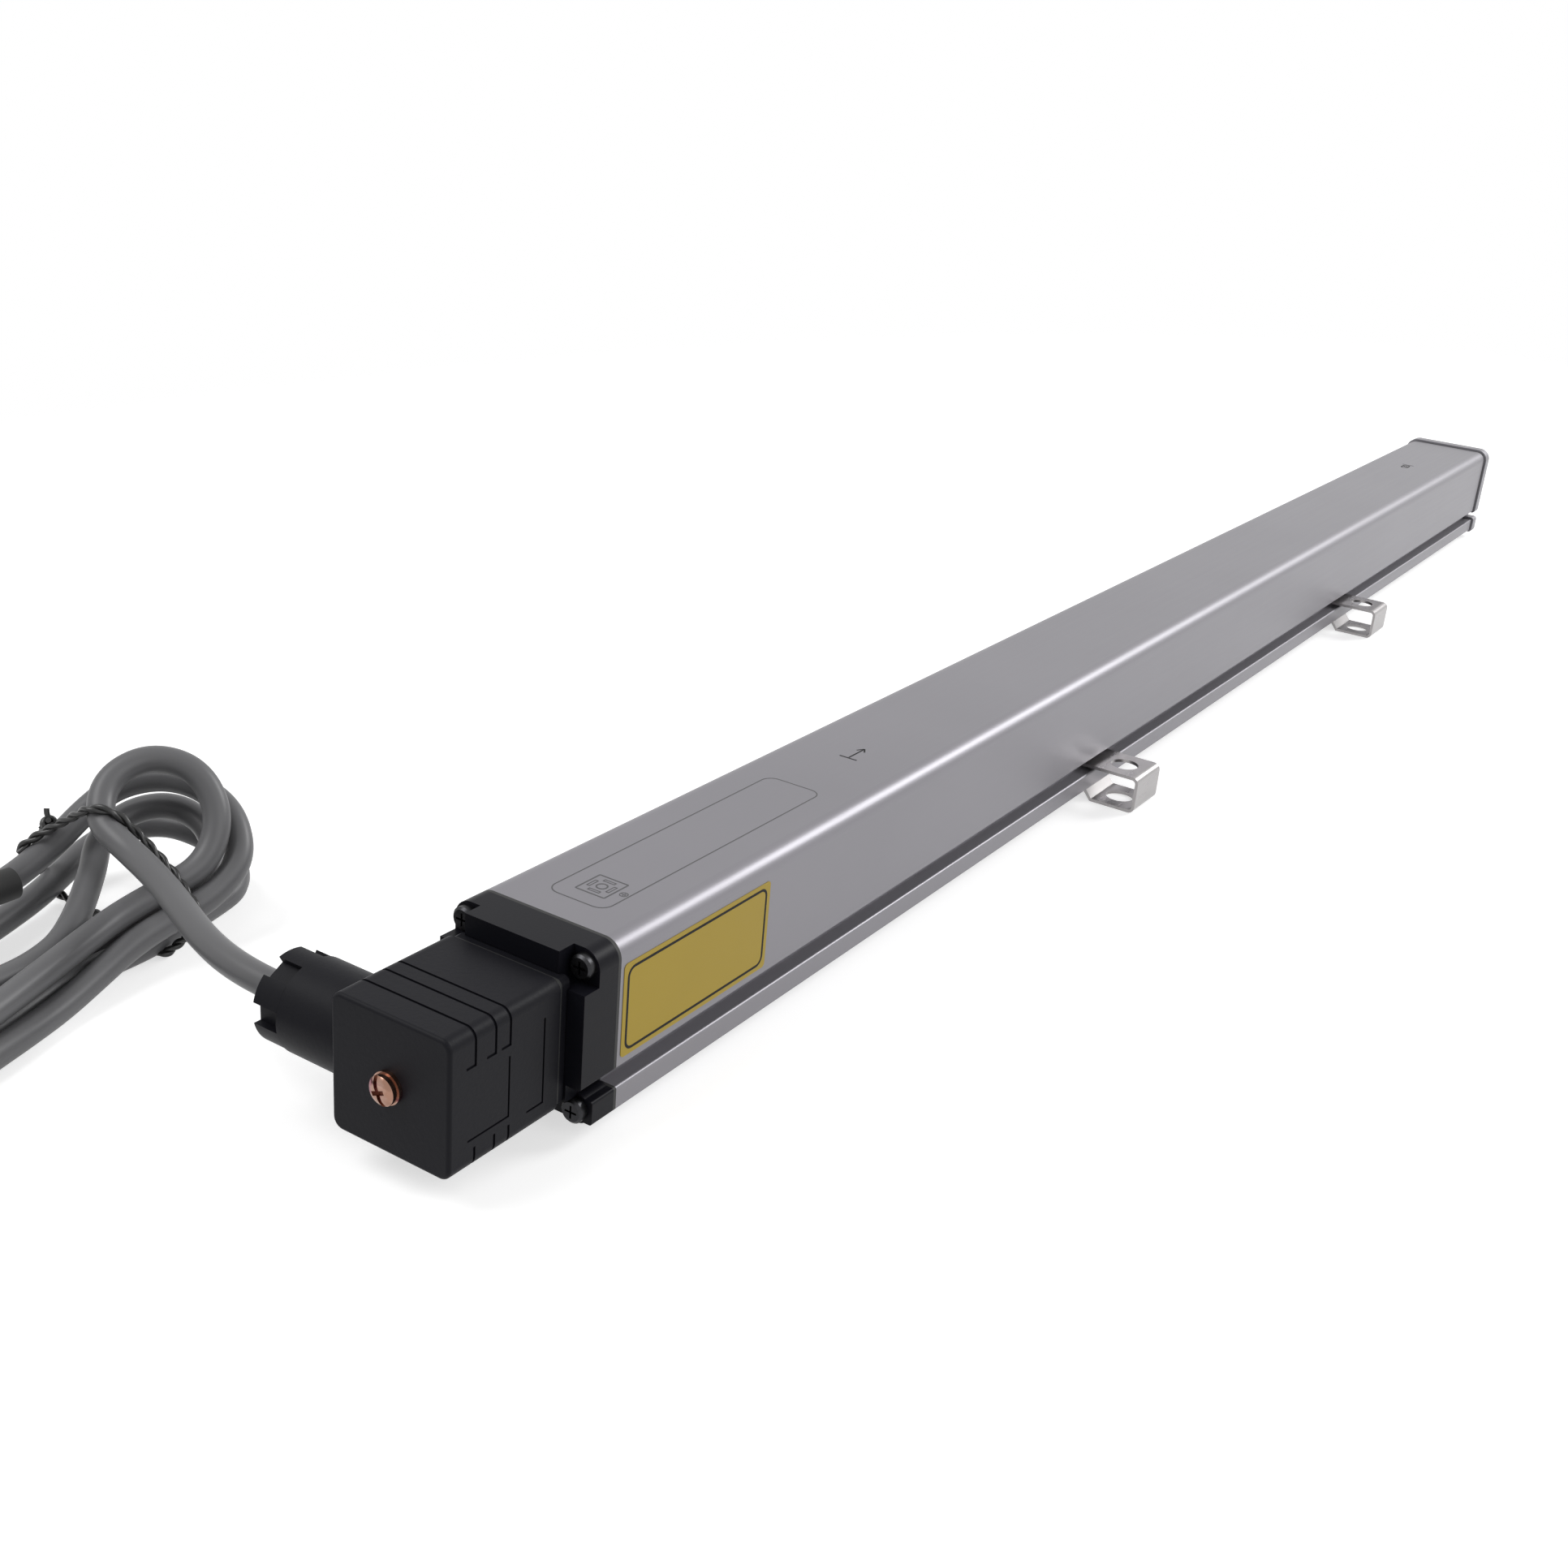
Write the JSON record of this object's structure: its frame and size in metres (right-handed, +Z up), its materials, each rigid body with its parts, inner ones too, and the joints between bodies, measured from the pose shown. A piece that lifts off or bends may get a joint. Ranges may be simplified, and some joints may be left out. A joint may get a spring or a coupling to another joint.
{
  "type": "magnetostrictive linear position sensor",
  "caption": "Linear position sensor in a long aluminium profile housing with sliding mounting clips, a square screw-held cable plug and a tied cable hank.",
  "frame": {"origin": "centre of the four clip holes, in the plane of the surface that the clips stand on", "axes": "+X along the sensor from the plug to the far end, +Y towards the cable gland, +Z up from the mounting surface"},
  "size_m": [0.7762, 0.171, 0.042],
  "materials": {
    "anodised_housing": "satin anodised",
    "black_rubber": "matt",
    "black_plastic": "fine moulded satin",
    "passivated_steel": "yellow passivated",
    "dark_steel": "blackened",
    "steel": "bright",
    "tin_plated": "tin plated",
    "copper": "enamelled copper",
    "white_plastic": "plain",
    "cable_jacket": "satin grey jacket",
    "tie_plastic": "plain",
    "board_green": "solder resist",
    "label_yellow": "printed film",
    "lead_red": "plain",
    "lead_black": "plain",
    "lead_yellow": "plain",
    "lead_green": "plain"
  },
  "bodies": {
    "housing": {"profile_housing": "anodised_housing", "near_cap_seal": "black_rubber", "far_cap_seal": "black_rubber", "near_end_cap": "black_plastic", "far_end_cap": "anodised_housing", "socket_base": "black_plastic", "element_carrier": "white_plastic", "waveguide_tube": "steel", "waveguide_wire": "steel", "return_wire": "copper", "damping_sleeve": "black_rubber", "coil_bobbin": "white_plastic", "pickup_coil": "copper", "bias_magnet": "steel", "circuit_board": "board_green", "processor_chip": "black_plastic", "driver_chip": "black_plastic", "output_chip": "black_plastic", "supply_block": "black_plastic", "side_label": "label_yellow", "near_cap_screw_1": "dark_steel", "far_cap_screw_1": "dark_steel", "contact_blade_1": "tin_plated", "near_cap_screw_2": "dark_steel", "far_cap_screw_2": "dark_steel", "contact_blade_2": "tin_plated", "near_cap_screw_3": "dark_steel", "far_cap_screw_3": "dark_steel", "contact_blade_3": "tin_plated", "near_cap_screw_4": "dark_steel", "far_cap_screw_4": "dark_steel", "contact_blade_4": "tin_plated"},
    "plug": {"plug_shell": "black_plastic", "plug_gasket": "black_rubber", "terminal_insert": "black_plastic", "plug_washer": "passivated_steel", "gland_bush": "black_rubber", "cable_run": "cable_jacket", "cable_hank": "cable_jacket", "hank_tie": "tie_plastic", "end_sleeve": "black_rubber", "lead_1": "lead_red", "lead_2": "lead_black", "lead_3": "lead_yellow", "lead_4": "lead_green"},
    "plug_screw": {"plug_screw": "passivated_steel"},
    "gland_washer": {"gland_washer": "white_plastic"},
    "gland_nut": {"gland_nut": "black_plastic"},
    "near_clip_right": {"near_clip_right": "steel"},
    "near_clip_left": {"near_clip_left": "steel"},
    "far_clip_right": {"far_clip_right": "steel"},
    "far_clip_left": {"far_clip_left": "steel"}
  },
  "joints": [
    {"name": "near_clip_right_slide", "type": "slide", "parent": "housing", "child": "near_clip_right", "axis": [1, 0, 0], "range_m": [-0.185, 0.105]},
    {"name": "near_clip_left_slide", "type": "slide", "parent": "housing", "child": "near_clip_left", "axis": [1, 0, 0], "range_m": [-0.185, 0.105]},
    {"name": "far_clip_right_slide", "type": "slide", "parent": "housing", "child": "far_clip_right", "axis": [1, 0, 0], "range_m": [-0.105, 0.17]},
    {"name": "far_clip_left_slide", "type": "slide", "parent": "housing", "child": "far_clip_left", "axis": [1, 0, 0], "range_m": [-0.105, 0.17]},
    {"name": "plug_pull", "type": "slide", "parent": "housing", "child": "plug", "axis": [-1, 0, 0], "range_m": [0, 0.03]},
    {"name": "plug_screw_turn", "type": "hinge", "parent": "plug", "child": "plug_screw", "pos_m": [-0.3875, 0, 0.022], "axis": [1, 0, 0], "continuous": true},
    {"name": "gland_travel", "type": "slide", "parent": "plug", "child": "gland_washer", "axis": [0, 1, 0], "range_m": [0, 0.003]},
    {"name": "gland_turn", "type": "hinge", "parent": "gland_washer", "child": "gland_nut", "pos_m": [-0.3773, 0.0294, 0.0232], "axis": [0, 1, 0], "range_deg": [0, 720]}
  ],
  "couplings": [
    {"joint": "gland_travel", "follows": "gland_turn", "m_per_rad": 0.00023873}
  ]
}
